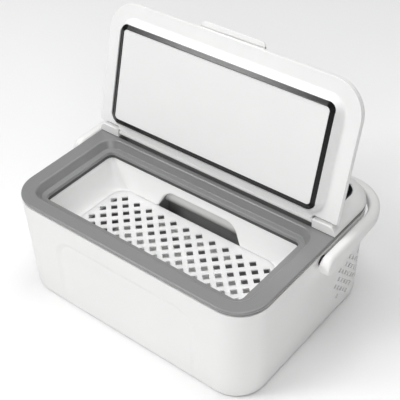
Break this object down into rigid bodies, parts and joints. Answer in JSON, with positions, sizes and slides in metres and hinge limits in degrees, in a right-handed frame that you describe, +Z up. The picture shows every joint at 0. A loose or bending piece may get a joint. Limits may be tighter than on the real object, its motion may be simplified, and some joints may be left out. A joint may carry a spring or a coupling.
{
  "type": "insulin cooling case",
  "caption": "Portable cooled case for insulin with a hinged sealed lid, grey rim, lift-out perforated tray, fold-back carrying handle and a cooler bay under the rear deck.",
  "frame": {"origin": "on the ground under the middle of the overall box", "axes": "+X to the right along the case's length, +Y from the front to the hinge side, +Z up"},
  "size_m": [0.2514, 0.179, 0.205],
  "materials": {
    "white_plastic": "satin moulded white plastic",
    "grey_plastic": "satin mid-grey plastic",
    "dark_panel": "polished smoked acrylic",
    "dark_plastic": "fine-textured black plastic",
    "foot_rubber": "matt rubber",
    "gasket_rubber": "smooth black silicone rubber",
    "foam": "closed-cell insulating foam",
    "bare_aluminium": "bare milled aluminium",
    "steel": "zinc-plated steel",
    "circuit_board": "green solder mask",
    "ceramic": "unglazed white ceramic"
  },
  "bodies": {
    "case": {"base_cover": "white_plastic", "foot_front_left": "foot_rubber", "foot_front_right": "foot_rubber", "foot_back_left": "foot_rubber", "foot_back_right": "foot_rubber", "base_screw_front_left": "steel", "base_screw_front_right": "steel", "base_screw_back_left": "steel", "base_screw_back_right": "steel", "housing_shell": "white_plastic", "rim_frame": "grey_plastic", "liner_tub": "white_plastic", "well_pan": "grey_plastic", "well_mat": "foam", "foam_jacket": "foam", "deck_cover": "white_plastic", "panel_window": "dark_panel", "control_board": "circuit_board", "display_module": "dark_plastic", "hinge_pin_left": "steel", "hinge_pin_right": "steel", "duct_screen": "white_plastic", "cold_plate": "bare_aluminium", "cooling_chip": "ceramic", "heat_sink": "bare_aluminium", "fan_frame": "dark_plastic", "dc_inlet": "dark_plastic"},
    "lid": {"lid_shell": "white_plastic", "lid_liner": "white_plastic", "lid_gasket": "gasket_rubber", "lid_foam": "foam"},
    "handle": {"handle_bail": "white_plastic", "handle_pin_left": "dark_plastic", "handle_pin_right": "dark_plastic"},
    "tray": {"tray": "white_plastic"},
    "fan": {"fan_rotor": "dark_plastic"},
    "power_key": {"key_power": "dark_plastic"},
    "set_key": {"key_set": "dark_plastic"}
  },
  "joints": [
    {"name": "lid_hinge", "type": "hinge", "parent": "case", "child": "lid", "pos_m": [0, 0.0196, 0.0949], "axis": [-1, 0, 0], "range_deg": [-105.8, 0]},
    {"name": "handle_hinge", "type": "hinge", "parent": "case", "child": "handle", "pos_m": [0, 0.0008, 0.08], "axis": [1, 0, 0], "range_deg": [0, 50]},
    {"name": "tray_lift", "type": "slide", "parent": "case", "child": "tray", "axis": [0, 0, 1], "range_m": [0, 0.1]},
    {"name": "fan_spin", "type": "hinge", "parent": "case", "child": "fan", "pos_m": [0.1, 0.0453, 0.032], "axis": [1, 0, 0], "continuous": true},
    {"name": "power_key_press", "type": "slide", "parent": "case", "child": "power_key", "axis": [0, 0, 1], "range_m": [-0.001, 0], "stiffness_N_per_m": 400},
    {"name": "set_key_press", "type": "slide", "parent": "case", "child": "set_key", "axis": [0, 0, 1], "range_m": [-0.001, 0], "stiffness_N_per_m": 400}
  ]
}
